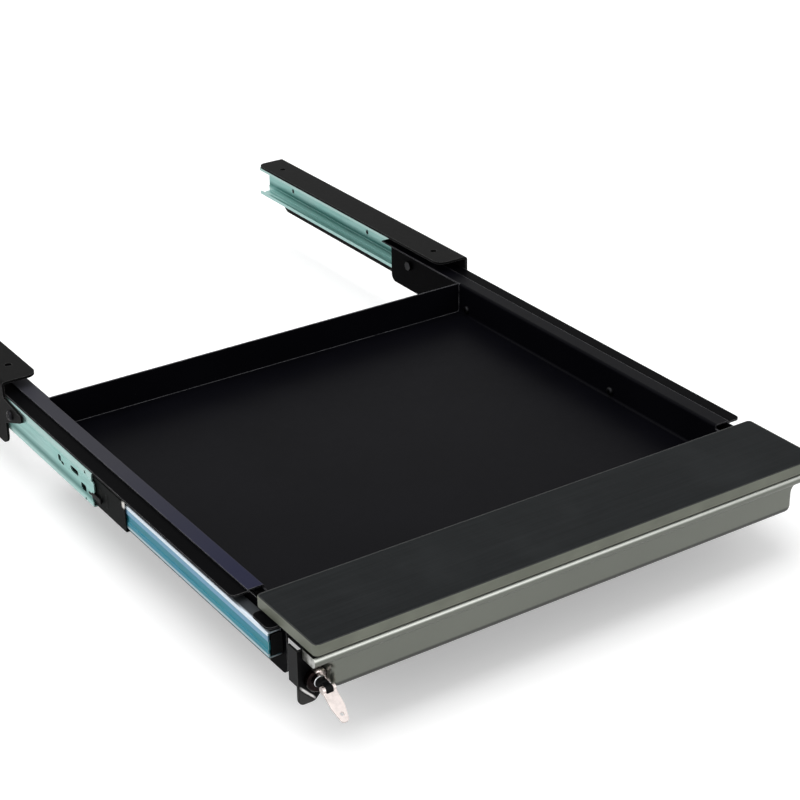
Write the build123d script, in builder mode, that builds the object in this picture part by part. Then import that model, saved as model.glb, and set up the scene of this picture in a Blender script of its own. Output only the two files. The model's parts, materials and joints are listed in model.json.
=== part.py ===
from build123d import *
import os

os.makedirs("parts", exist_ok=True)

# Pull-out shelf that hangs under a desk top. Millimetres.
# X runs across the shelf, the user sits at -Y, Z=0 is the underside of the desk top.
# The origin is the centre of the four desk screws. The shelf is drawn half open,
# as far as the first stage of the slides goes.

# hanger brackets
slide_span = 400.0  # between the inner faces of the two bracket webs
bracket_gauge = 2.0
bracket_length = 290.0
bracket_height = 50.0
bracket_flange = 28.0
bracket_corner = 8.0
desk_screw_inset = 14.0  # from the inner face of the web
desk_screw_end = 25.0
desk_screw_hole = 5.5
ear_reach = 29.0
ear_top = -12.0
ear_height = 19.7
ear_nose_height = 5.0
ear_nose_drop = 3.5
ear_round = 2.4
ear_screw_ahead = 11.0
ear_screw_rise = 4.0

# ball-bearing slides, three sections each
slide_length = 450.0
slide_thickness = 12.5
slide_axis_z = -25.3
slide_gauge = 1.2
slide_rear_overhang = 23.0
outer_height = 26.8
outer_flange = 11.0
outer_lip = 1.6
outer_emboss = 0.4
outer_band = 13.4
race_depth = 0.5
race_floor = 2.4
race_ramp = 0.8
sheet_bend = 1.6
mid_inset = 3.0
mid_height = 17.8
mid_flange = 9.1
mid_groove = 0.5
mid_groove_width = 5.0
mid_stop_spacing = 106.0
mid_stop_front = 18.0
mid_stop_edge = 1.6
mid_stop_width = 1.8
mid_stop_length = 5.0
inner_height = 9.6
inner_flange = 5.9
inner_race_depth = 0.4
ball_seat = 0.2
cage_gauge = 0.7
outer_cage_inset = 1.95
outer_cage_length = 270.0
outer_cage_flange = 7.4
outer_ball_inset = 6.5
outer_ball_spacing = 82.0
outer_ball_count = 4
inner_cage_inset = 5.3
inner_cage_length = 220.0
inner_cage_flange = 5.5
inner_ball_inset = 9.0
inner_ball_spacing = 90.0
inner_ball_count = 3
ball_flats = 0.9  # of the ball's radius
ball_pocket = 0.06
cage_rib_width = 2.0
cage_rib_height = 0.3
cage_rib_length = 10.0
cage_rib_spacing = 9.0
cage_rib_count = 7
slide_screw = 4.0
slide_screw_head = 7.6
slide_screw_head_height = 2.2
slide_screw_flats = 7.0
slide_screw_rear_inset = 20.0
screw_gap = 0.05
shank_sides = 8  # plain shanks of the small screws, without their threads
bumper_length = 12.5
bumper_height = 4.0
bumper_thickness = 1.45
bumper_drop = 3.0
bumper_stem = 5.0
tongue_length = 4.0
tongue_height = 8.0
tongue_rise = 3.3

# punched openings at the front end of the outer member: distance from its end and rise
catch_slot_at = 25.5
catch_slot_rise = 3.8
catch_slot_length = 12.5
catch_slot_height = 4.0
hook_head_at = 49.2
hook_head_rise = 3.3
hook_head_size = 4.6
hook_tail_at = 45.0
hook_tail_rise = 1.1
hook_tail_length = 5.0
hook_tail_height = 2.2
latch_hole_at = 12.2
latch_hole_rise = -2.7
latch_hole_length = 8.0
latch_hole_height = 5.0
rivet_hole = 2.6
rivet_hole_at = 9.7
rivet_hole_rise = 9.7
rivet_low_at = 10.8
rivet_low_rise = -11.2

# side rails and pan
deck_z = -10.4
rail_gauge = 1.2
rail_bottom_z = -47.0
rail_overrun = 5.0  # ahead of the slides
rail_flange_out = 11.9
strip_gap = 16.0  # behind the writing board
board_seat_length = 20.0
pan_gauge = 1.0
pan_depth = 367.0
pan_floor_z = -33.5
pan_flange_reach = 0.9  # past the face of the rail's web
pan_front_gap = 1.0
pan_front_wall = 13.0
pan_bend = 2.0
pan_screw = 4.0
pan_screw_head = 6.4
pan_screw_head_height = 2.2
pan_screw_z = -28.2
pan_screw_shares = (0.112, 0.482, 0.970)  # of the pan's depth, from the front
spacer_flats = 8.0
spacer_length = 8.6

# front channel
channel_ahead = 31.5  # ahead of the slides
channel_gauge = 1.5
channel_depth = 26.0
channel_end_gap = 6.3
wing_inset = 3.7
wing_bottom_z = -49.4
wing_foot = 11.0
wing_root_reach = 13.0  # from the lock
wing_return_depth = 10.0
wing_return_bottom_z = -36.5

# writing board
board_side_overhang = 4.6  # past the rail's web
board_front_overhang = 13.5  # past the channel's web
board_depth = 66.0
board_top_z = -3.0
edge_band_width = 1.2
board_corner = 2.0
board_screw = 3.5
board_screw_flats = 5.5
board_screw_head_height = 2.0
board_screw_bite = 4.5
board_screw_inset = 30.0
board_screw_count = 3

# front panel
panel_gauge = 1.2
panel_top_z = -12.0
panel_nose_height = 6.5
panel_nose_reach = 1.4
panel_side_cover = 0.5
panel_left_inset = 12.4
panel_right_inset = 21.0
panel_bottom_z = -37.0
panel_corner = 4.5
panel_throat = 5.0
panel_edge = 2.6
panel_window_margin = 6.0
panel_screw = 3.0
panel_screw_flats = 5.5
panel_screw_z = -15.6

# lock and folding key
lock_inset = 15.0
lock_z = -33.5
lock_bore = 11.0
lock_face = 15.0
lock_face_height = 5.0
lock_face_chamfer = 1.0
lock_body_length = 10.5
lock_nut_flats = 13.0
lock_nut_height = 3.0
plug_diameter = 7.6
plug_fit = 0.05
plug_proud = 0.8
cam_thickness = 1.5
cam_length = 13.0
cam_width = 8.0
cam_screw_head = 5.0
cam_screw_head_height = 1.4
cam_gap = 0.4
cam_screw = 2.6
cam_screw_bite = 5.0
hub_diameter = 7.0
hub_length = 8.1
hub_collar = 5.0
hub_tongue = 4.2
knuckle_radius = 2.6
key_blade_width = 1.8
key_blade_height = 5.8
key_blade_length = 10.0
key_slot_gap = 0.35
key_pin = 1.6
key_pin_fit = 0.05
key_bow_length = 22.0
key_bow_width = 8.6
key_bow_tip = 4.4
key_bow_thickness = 1.6
key_bow_hole = 2.4
key_bow_drop = 32.0

# derived places
half_span = slide_span / 2
desk_screw_span_x = slide_span - 2 * desk_screw_inset
desk_screw_span_y = bracket_length - 2 * desk_screw_end
slide_rear_y = bracket_length / 2 + slide_rear_overhang
stage_travel = slide_length / 2
slide_front_y = slide_rear_y - slide_length
mid_front_y = slide_front_y - stage_travel
mid_rear_y = slide_rear_y - stage_travel
rail_face = half_span - slide_thickness
rail_inner = rail_face - rail_gauge
bracket_rear_y = bracket_length / 2
bracket_front_y = -bracket_length / 2
race_roof = outer_height / 2 - slide_gauge
outer_ball_v = (race_roof + mid_height / 2) / 2
outer_ball_radius = (race_roof - mid_height / 2) / 2 - ball_seat
mid_roof = mid_height / 2 - slide_gauge
inner_ball_v = (mid_roof + inner_height / 2) / 2
inner_ball_radius = (mid_roof - inner_height / 2) / 2 - ball_seat
outer_cage_front_y = mid_rear_y - outer_cage_length
inner_cage_front_y = mid_front_y + (slide_length - inner_cage_length) / 2
rail_front_y = mid_front_y - rail_overrun
channel_web_y = mid_front_y - channel_ahead
channel_rear_y = channel_web_y + channel_depth
channel_half_width = rail_inner - channel_end_gap
channel_bottom_z = pan_floor_z - pan_gauge - channel_gauge
pan_half_width = rail_inner - spacer_length - pan_gauge
pan_flange_half_width = rail_face + pan_flange_reach
pan_top_z = deck_z + pan_gauge
pan_front_y = channel_web_y + channel_gauge + pan_front_gap
pan_rear_y = pan_front_y + pan_depth
board_half_width = rail_face + board_side_overhang
board_front_y = channel_web_y - board_front_overhang
board_rear_y = board_front_y + board_depth
strip_front_y = board_rear_y + strip_gap
panel_half_width = board_half_width + panel_side_cover
panel_face_left_x = panel_left_inset - panel_half_width
panel_face_right_x = panel_half_width - panel_right_inset
lock_x = lock_inset - half_span
wing_x = wing_inset - half_span
wing_root_x = lock_x + wing_root_reach
slide_screw_spots = [
    (bracket_front_y - ear_screw_ahead, slide_axis_z + ear_screw_rise),
    (0, slide_axis_z),
    (bracket_rear_y - slide_screw_rear_inset, slide_axis_z),
]


def folded(points, gauge, bend, side):
    """Outline of a folded sheet: a line with rounded bends and its offset."""
    with BuildLine() as outline:
        FilletPolyline(*points, radius=bend)
        offset(amount=gauge, side=side)
    return outline.edges()


def rolled(points, gauge, turn):
    """Corners of a rolled sheet: a line, then its mitred offset to the left (1) or right (-1)."""
    line = [Vector(x, z) for x, z in points]
    runs = [(b - a).normalized() for a, b in zip(line, line[1:])]
    sides = [Vector(-run.Y, run.X) * turn for run in runs]
    before = [sides[0]] + sides
    after = sides + [sides[-1]]
    inner = [p + (m + n) * (gauge / (1 + m.dot(n))) for p, m, n in zip(line, before, after)]
    return line + inner[::-1]


def both_ways(upper):
    """A slide section line from its upper half, as (inset from the web, height)."""
    down = [(half_span - u, slide_axis_z + v) for u, v in upper]
    back = [(half_span - u, slide_axis_z - v) for u, v in reversed(upper)]
    return down + back


def bearing_ball(radius):
    """A ball drawn with 18 flats, which keeps a slide full of balls light."""
    prism = extrude(RegularPolygon(ball_flats * radius, 8, major_radius=False, rotation=22.5), radius, both=True)
    return prism & Rot(90, 0, 0) * prism & Rot(0, 90, 0) * prism


def pocket(radius):
    """Sides of the square pocket in which a ball of that radius sits."""
    side = 2 * (ball_flats * radius + ball_pocket)
    return side, side, 3 * cage_gauge


def stations(middle, spacing, count):
    """Places of count things in a row, evenly spaced about its middle."""
    return [middle + spacing * (i - (count - 1) / 2) for i in range(count)]


def front_plane(y):
    """A plane that faces the user, with its local x along X and local y along Z."""
    return Plane(origin=(0, y, 0), x_dir=(1, 0, 0), z_dir=(0, -1, 0))


def side_plane(x):
    """A plane that faces +X, with its local x along Y and local y along Z."""
    return Plane(origin=(x, 0, 0), x_dir=(0, 1, 0), z_dir=(1, 0, 0))


# hanger brackets: a web that carries the slide, a flange under the desk
outer_x = half_span + bracket_gauge
with BuildPart() as bracket_right:
    with BuildSketch(front_plane(bracket_rear_y)):
        flange_line = [(outer_x - bracket_flange, 0), (outer_x, 0), (outer_x, -bracket_height)]
        make_face(folded(flange_line, bracket_gauge, 1.5 * bracket_gauge, Side.RIGHT))
    extrude(amount=bracket_length)
    # the ear in front, which carries the first screw of the slide
    with BuildSketch(side_plane(half_span)) as ear:
        ear_front_y = bracket_front_y - ear_reach
        nose_top_z = ear_top - ear_nose_drop
        with BuildLine():
            Polyline(
                (bracket_front_y + bracket_corner, ear_top),
                (bracket_front_y, ear_top),
                (ear_front_y, nose_top_z),
                (ear_front_y, nose_top_z - ear_nose_height),
                (bracket_front_y, ear_top - ear_height),
                (bracket_front_y + bracket_corner, ear_top - ear_height),
                close=True,
            )
        make_face()
        fillet(ear.vertices().group_by(Axis.X)[0], min(ear_round, 0.48 * ear_nose_height))
    extrude(amount=bracket_gauge)
    fillet(bracket_right.edges().filter_by(Axis.X).group_by(Axis.Z)[0], bracket_corner)
    fillet(bracket_right.edges().filter_by(Axis.Z).group_by(Axis.X)[0], bracket_corner)
    with BuildSketch(side_plane(half_span)):
        with Locations(slide_screw_spots):
            Circle(slide_screw / 2 + screw_gap)
    extrude(amount=bracket_gauge, mode=Mode.SUBTRACT)
    with Locations((desk_screw_span_x / 2, 0, 0)):
        with GridLocations(1, desk_screw_span_y, 1, 2):
            Hole(desk_screw_hole / 2, depth=bracket_gauge)
bracket_right.part.label = "bracket_right"
export_step(bracket_right.part, "parts/bracket_right.step")

with BuildPart() as bracket_left:
    mirror(bracket_right.part, about=Plane.YZ)
bracket_left.part.label = "bracket_left"
export_step(bracket_left.part, "parts/bracket_left.step")

# outer slide member: rolled channel with a ball race in each flange
race_low = outer_height / 2 - race_depth
with BuildPart() as outer_member_right:
    with BuildSketch(front_plane(slide_rear_y)) as outer_section:
        outer_line = [
            (outer_flange, race_low - slide_gauge - outer_lip),
            (outer_flange, race_low),
            (outer_ball_inset + race_floor / 2 + race_ramp, race_low),
            (outer_ball_inset + race_floor / 2, outer_height / 2),
            (outer_ball_inset - race_floor / 2, outer_height / 2),
            (outer_ball_inset - race_floor / 2 - race_ramp, race_low),
            (outer_emboss, race_low),
            (outer_emboss, outer_band / 2 + outer_emboss),
            (0, outer_band / 2),
        ]
        with BuildLine():
            Polyline(*rolled(both_ways(outer_line), slide_gauge, -1), close=True)
        make_face()
        corners = outer_section.vertices().group_by(Axis.X)[-2]
        fillet(corners.filter_by(lambda c: abs(c.Y - slide_axis_z) > outer_band / 2 + 1), sheet_bend)
    extrude(amount=slide_length)
    # slots and holes at the front end, for the catch and the fitting screws
    with BuildSketch(side_plane(half_span - 2 * slide_gauge)):
        with Locations((slide_front_y + catch_slot_at, slide_axis_z + catch_slot_rise)):
            SlotOverall(catch_slot_length, catch_slot_height)
        with Locations((slide_front_y + hook_head_at, slide_axis_z + hook_head_rise)):
            RectangleRounded(hook_head_size, hook_head_size, hook_head_size / 4)
        with Locations((slide_front_y + hook_tail_at, slide_axis_z + hook_tail_rise)):
            SlotOverall(hook_tail_length, hook_tail_height)
        with Locations((slide_front_y + latch_hole_at, slide_axis_z + latch_hole_rise)):
            RectangleRounded(latch_hole_length, latch_hole_height, latch_hole_height / 3)
        with Locations(
            (slide_front_y + rivet_hole_at, slide_axis_z + rivet_hole_rise),
            (slide_front_y + rivet_low_at, slide_axis_z + rivet_low_rise),
        ):
            Circle(rivet_hole / 2)
        with Locations(slide_screw_spots):
            Circle(slide_screw / 2 + screw_gap)
    extrude(amount=3 * slide_gauge, mode=Mode.SUBTRACT)
    # tongue at the front end and the notch beside it for the bumper's stem
    with BuildSketch(side_plane(half_span - slide_gauge)):
        with Locations((slide_front_y, slide_axis_z + tongue_rise)):
            RectangleRounded(2 * tongue_length, tongue_height, 1.5)
    extrude(amount=slide_gauge)
    with BuildSketch(side_plane(half_span - 2 * slide_gauge)):
        with Locations((slide_front_y, slide_axis_z - bumper_drop)):
            Rectangle(2 * bumper_stem, bumper_height / 2)
    extrude(amount=3 * slide_gauge, mode=Mode.SUBTRACT)
outer_member_right.part.label = "outer_member_right"
export_step(outer_member_right.part, "parts/outer_member_right.step")

with BuildPart() as outer_member_left:
    mirror(outer_member_right.part, about=Plane.YZ)
outer_member_left.part.label = "outer_member_left"
export_step(outer_member_left.part, "parts/outer_member_left.step")

# black bumper: a stem in the notch and a nose ahead of the member
with BuildPart() as outer_bumper_right:
    with BuildSketch(side_plane(half_span)):
        with Locations((slide_front_y, slide_axis_z - bumper_drop)):
            Rectangle(2 * bumper_stem, bumper_height / 2)
        with Locations((slide_front_y - bumper_length / 2, slide_axis_z - bumper_drop)):
            RectangleRounded(bumper_length, bumper_height, 1.2)
        with Locations((slide_front_y - 2, slide_axis_z - bumper_drop)):
            Rectangle(4, bumper_height)
    extrude(amount=-bumper_thickness)
outer_bumper_right.part.label = "outer_bumper_right"
export_step(outer_bumper_right.part, "parts/outer_bumper_right.step")

with BuildPart() as outer_bumper_left:
    mirror(outer_bumper_right.part, about=Plane.YZ)
outer_bumper_left.part.label = "outer_bumper_left"
export_step(outer_bumper_left.part, "parts/outer_bumper_left.step")

# screws from outside through the bracket web into the outer member
with BuildPart() as outer_member_screws:
    with BuildSketch(side_plane(outer_x)):
        with Locations(slide_screw_spots):
            Circle(slide_screw_head / 2)
    extrude(amount=slide_screw_head_height)
    with BuildSketch(side_plane(outer_x)):
        with Locations(slide_screw_spots):
            RegularPolygon(slide_screw / 2, shank_sides)
    extrude(amount=-bracket_gauge - slide_gauge)
    mirror(about=Plane.YZ)
outer_member_screws.part.label = "outer_member_screws"
export_step(outer_member_screws.part, "parts/outer_member_screws.step")

# intermediate slide member: channel with a grooved web and stop bumps
with BuildPart() as mid_member_right:
    with BuildSketch(front_plane(mid_rear_y)) as mid_section:
        mid_line = [
            (mid_inset + mid_flange, mid_height / 2),
            (mid_inset, mid_height / 2),
            (mid_inset, mid_groove_width / 2 + mid_groove),
            (mid_inset + mid_groove, mid_groove_width / 2),
        ]
        with BuildLine():
            Polyline(*rolled(both_ways(mid_line), slide_gauge, -1), close=True)
        make_face()
        corners = mid_section.vertices().group_by(Axis.X)[-1]
        fillet(corners.filter_by(lambda c: abs(c.Y - slide_axis_z) > mid_groove_width), sheet_bend)
    extrude(amount=slide_length)
    with BuildSketch(Plane.XY.offset(slide_axis_z + mid_height / 2)):
        stop_x = half_span - mid_inset - mid_flange + mid_stop_edge
        with Locations((stop_x, mid_front_y + mid_stop_front), (stop_x, mid_front_y + mid_stop_front + mid_stop_spacing)):
            RectangleRounded(mid_stop_width, mid_stop_length, mid_stop_width / 3)
    extrude(amount=mid_groove)
mid_member_right.part.label = "mid_member_right"
export_step(mid_member_right.part, "parts/mid_member_right.step")

with BuildPart() as mid_member_left:
    mirror(mid_member_right.part, about=Plane.YZ)
mid_member_left.part.label = "mid_member_left"
export_step(mid_member_left.part, "parts/mid_member_left.step")

# inner slide member: back on the side rail, flanges towards the bracket
inner_low = inner_height / 2 + inner_race_depth
with BuildPart() as inner_member_right:
    with BuildSketch(front_plane(mid_rear_y)):
        inner_line = [
            (slide_thickness - inner_flange, inner_low),
            (inner_ball_inset - race_floor / 2 - race_ramp, inner_low),
            (inner_ball_inset - race_floor / 2, inner_height / 2),
            (inner_ball_inset + race_floor / 2, inner_height / 2),
            (inner_ball_inset + race_floor / 2 + race_ramp, inner_low),
            (slide_thickness, inner_low),
        ]
        with BuildLine():
            Polyline(*rolled(both_ways(inner_line), slide_gauge, 1), close=True)
        make_face()
    extrude(amount=slide_length)
    inner_screw_ys = [mid_front_y + slide_length * share for share in (0.06, 0.5, 0.94)]
    with BuildSketch(side_plane(rail_face)):
        with Locations([(y, slide_axis_z) for y in inner_screw_ys]):
            Circle(slide_screw / 2 + screw_gap)
    extrude(amount=slide_gauge, mode=Mode.SUBTRACT)
inner_member_right.part.label = "inner_member_right"
export_step(inner_member_right.part, "parts/inner_member_right.step")

with BuildPart() as inner_member_left:
    mirror(inner_member_right.part, about=Plane.YZ)
inner_member_left.part.label = "inner_member_left"
export_step(inner_member_left.part, "parts/inner_member_left.step")

with BuildPart() as inner_member_screws:
    with BuildSketch(side_plane(rail_inner)):
        with Locations([(y, slide_axis_z) for y in inner_screw_ys]):
            RegularPolygon(slide_screw_flats / 2, 6, major_radius=False)
    extrude(amount=-slide_screw_head_height)
    with BuildSketch(side_plane(rail_inner)):
        with Locations([(y, slide_axis_z) for y in inner_screw_ys]):
            RegularPolygon(slide_screw / 2, shank_sides)
    extrude(amount=rail_gauge + slide_gauge)
    mirror(about=Plane.YZ)
inner_member_screws.part.label = "inner_member_screws"
export_step(inner_member_screws.part, "parts/inner_member_screws.step")


# ball cages: thin channels with a pocket for every ball
outer_ball_ys = stations(outer_cage_front_y + outer_cage_length / 2, outer_ball_spacing, outer_ball_count)
outer_ball_x = half_span - outer_ball_inset
outer_ball_spots = [
    (outer_ball_x, y, slide_axis_z + v) for y in outer_ball_ys for v in (outer_ball_v, -outer_ball_v)
]
with BuildPart() as outer_cage_right:
    with BuildSketch(front_plane(outer_cage_front_y + outer_cage_length)) as outer_cage_section:
        outer_cage_line = [
            (outer_cage_inset + outer_cage_flange, outer_ball_v + cage_gauge / 2),
            (outer_cage_inset, outer_ball_v + cage_gauge / 2),
        ]
        with BuildLine():
            Polyline(*rolled(both_ways(outer_cage_line), cage_gauge, -1), close=True)
        make_face()
        fillet(outer_cage_section.vertices().group_by(Axis.X)[-1], cage_gauge)
    extrude(amount=outer_cage_length)
    with Locations(outer_ball_spots):
        Box(*pocket(outer_ball_radius), mode=Mode.SUBTRACT)
    # ribs pressed into the web between the balls: grooves inside, raised outside
    with BuildSketch(side_plane(half_span - outer_cage_inset)) as ribs:
        with Locations([(y + outer_ball_spacing / 2, slide_axis_z) for y in outer_ball_ys[:-1]]):
            with GridLocations(cage_rib_spacing, 1, cage_rib_count, 1):
                Rectangle(cage_rib_width, cage_rib_length)
    extrude(amount=cage_rib_height)
    with BuildSketch(side_plane(half_span - outer_cage_inset - cage_gauge)):
        add(ribs.sketch_local)
    extrude(amount=cage_rib_height, mode=Mode.SUBTRACT)
outer_cage_right.part.label = "outer_cage_right"
export_step(outer_cage_right.part, "parts/outer_cage_right.step")

with BuildPart() as outer_cage_left:
    mirror(outer_cage_right.part, about=Plane.YZ)
outer_cage_left.part.label = "outer_cage_left"
export_step(outer_cage_left.part, "parts/outer_cage_left.step")

outer_ball = bearing_ball(outer_ball_radius)
with BuildPart() as outer_balls_right:
    with Locations(outer_ball_spots):
        add(outer_ball)
outer_balls_right.part.label = "outer_balls_right"
export_step(outer_balls_right.part, "parts/outer_balls_right.step")

with BuildPart() as outer_balls_left:
    mirror(outer_balls_right.part, about=Plane.YZ)
outer_balls_left.part.label = "outer_balls_left"
export_step(outer_balls_left.part, "parts/outer_balls_left.step")

inner_ball_ys = stations(inner_cage_front_y + inner_cage_length / 2, inner_ball_spacing, inner_ball_count)
inner_ball_x = half_span - inner_ball_inset
inner_ball_spots = [
    (inner_ball_x, y, slide_axis_z + v) for y in inner_ball_ys for v in (inner_ball_v, -inner_ball_v)
]
with BuildPart() as inner_cage_right:
    with BuildSketch(front_plane(inner_cage_front_y + inner_cage_length)) as inner_cage_section:
        inner_cage_line = [
            (inner_cage_inset + inner_cage_flange, inner_ball_v + cage_gauge / 2),
            (inner_cage_inset, inner_ball_v + cage_gauge / 2),
        ]
        with BuildLine():
            Polyline(*rolled(both_ways(inner_cage_line), cage_gauge, -1), close=True)
        make_face()
        fillet(inner_cage_section.vertices().group_by(Axis.X)[-1], cage_gauge)
    extrude(amount=inner_cage_length)
    with Locations(inner_ball_spots):
        Box(*pocket(inner_ball_radius), mode=Mode.SUBTRACT)
inner_cage_right.part.label = "inner_cage_right"
export_step(inner_cage_right.part, "parts/inner_cage_right.step")

with BuildPart() as inner_cage_left:
    mirror(inner_cage_right.part, about=Plane.YZ)
inner_cage_left.part.label = "inner_cage_left"
export_step(inner_cage_left.part, "parts/inner_cage_left.step")

inner_ball = bearing_ball(inner_ball_radius)
with BuildPart() as inner_balls_right:
    with Locations(inner_ball_spots):
        add(inner_ball)
inner_balls_right.part.label = "inner_balls_right"
export_step(inner_balls_right.part, "parts/inner_balls_right.step")

with BuildPart() as inner_balls_left:
    mirror(inner_balls_right.part, about=Plane.YZ)
inner_balls_left.part.label = "inner_balls_left"
export_step(inner_balls_left.part, "parts/inner_balls_left.step")

# side rails: a web for the inner member and a flange over the slide
pan_screw_spots = [(pan_front_y + share * pan_depth, pan_screw_z) for share in pan_screw_shares]
with BuildPart() as side_rail_right:
    with BuildSketch(front_plane(mid_rear_y)):
        rail_line = [(rail_face + rail_flange_out, deck_z), (rail_inner, deck_z), (rail_inner, rail_bottom_z)]
        make_face(folded(rail_line, rail_gauge, rail_gauge + 0.2, Side.LEFT))
    extrude(amount=mid_rear_y - rail_front_y)
    # the gap in the flange behind the writing board
    with BuildSketch(Plane.XY.offset(deck_z)):
        gap_front_y = rail_front_y + board_seat_length
        with Locations((rail_face + rail_flange_out, (strip_front_y + gap_front_y) / 2)):
            Rectangle(2 * rail_flange_out, strip_front_y - gap_front_y)
    extrude(amount=-2 * rail_gauge, mode=Mode.SUBTRACT)
    fillet(side_rail_right.edges().filter_by(Axis.Z).group_by(Axis.X)[-1], 4)
    fillet(side_rail_right.edges().filter_by(Axis.X).group_by(Axis.Z)[0], 6)
    with BuildSketch(side_plane(rail_inner)):
        with Locations([(y, slide_axis_z) for y in inner_screw_ys] + pan_screw_spots):
            Circle(slide_screw / 2 + screw_gap)
    extrude(amount=rail_gauge, mode=Mode.SUBTRACT)
side_rail_right.part.label = "side_rail_right"
export_step(side_rail_right.part, "parts/side_rail_right.step")

with BuildPart() as side_rail_left:
    mirror(side_rail_right.part, about=Plane.YZ)
side_rail_left.part.label = "side_rail_left"
export_step(side_rail_left.part, "parts/side_rail_left.step")

# pan: one folded sheet with flanges that rest on the side rails
board_screw_run = 2 * (channel_half_width - board_screw_inset)
board_screw_xs = stations(0, board_screw_run / (board_screw_count - 1), board_screw_count)
floor_screw_xs = board_screw_xs
floor_screw_y = channel_web_y + 0.7 * channel_depth
with BuildPart() as tray_pan:
    with BuildSketch(front_plane(pan_rear_y)):
        pan_half = [
            (pan_flange_half_width, pan_top_z),
            (pan_half_width, pan_top_z),
            (pan_half_width, pan_floor_z),
        ]
        pan_line = pan_half + [(-x, z) for x, z in reversed(pan_half)]
        make_face(folded(pan_line, pan_gauge, pan_bend, Side.LEFT))
    extrude(amount=pan_rear_y - pan_front_y)
    # its side flanges run on behind the rear wall to the rear ends of the rails
    with BuildSketch(Plane.XY.offset(pan_top_z)):
        tail_middle_x = (pan_half_width + pan_flange_half_width) / 2
        with Locations((0, (pan_rear_y + mid_rear_y) / 2)):
            with GridLocations(2 * tail_middle_x, 1, 2, 1):
                Rectangle(pan_flange_half_width - pan_half_width, mid_rear_y - pan_rear_y)
    extrude(amount=-pan_gauge)
    # the walls are cut down under the writing board
    with BuildSketch(Plane.XY.offset(pan_top_z)):
        with Locations((0, (pan_front_y + strip_front_y) / 2)):
            Rectangle(3 * pan_half_width, strip_front_y - pan_front_y)
    extrude(amount=-pan_gauge - pan_bend, mode=Mode.SUBTRACT)
    with BuildSketch(front_plane(pan_rear_y)):
        with Locations((0, (pan_top_z + pan_floor_z - pan_gauge) / 2)):
            Rectangle(2 * (pan_half_width + pan_gauge), pan_top_z - pan_floor_z + pan_gauge)
    extrude(amount=-pan_gauge)
    with BuildSketch(front_plane(pan_front_y + pan_gauge)):
        with Locations((0, pan_floor_z + pan_front_wall / 2)):
            Rectangle(2 * pan_half_width, pan_front_wall)
    extrude(amount=pan_gauge)
    with BuildSketch(side_plane(-2 * pan_half_width)):
        with Locations(pan_screw_spots):
            Circle(pan_screw / 2 + screw_gap)
    extrude(amount=4 * pan_half_width, mode=Mode.SUBTRACT)
    with BuildSketch(Plane.XY.offset(pan_floor_z)):
        with Locations([(x, floor_screw_y) for x in floor_screw_xs]):
            Circle(board_screw / 2 + screw_gap)
    extrude(amount=-pan_gauge, mode=Mode.SUBTRACT)
tray_pan.part.label = "tray_pan"
export_step(tray_pan.part, "parts/tray_pan.step")

pan_outer_half = pan_half_width + pan_gauge
with BuildPart() as pan_spacers:
    with BuildSketch(side_plane(pan_outer_half)):
        with Locations(pan_screw_spots):
            RegularPolygon(spacer_flats / 2, 6, major_radius=False)
            Circle(pan_screw / 2 + screw_gap, mode=Mode.SUBTRACT)
    extrude(amount=rail_inner - pan_outer_half)
    mirror(about=Plane.YZ)
pan_spacers.part.label = "pan_spacers"
export_step(pan_spacers.part, "parts/pan_spacers.step")

with BuildPart() as pan_screws:
    with BuildSketch(side_plane(pan_half_width)):
        with Locations(pan_screw_spots):
            Circle(pan_screw_head / 2)
    extrude(amount=-pan_screw_head_height)
    with BuildSketch(side_plane(pan_half_width)):
        with Locations(pan_screw_spots):
            RegularPolygon(pan_screw / 2, shank_sides)
    extrude(amount=rail_face - pan_half_width)
    mirror(about=Plane.YZ)
pan_screws.part.label = "pan_screws"
export_step(pan_screws.part, "parts/pan_screws.step")

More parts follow.
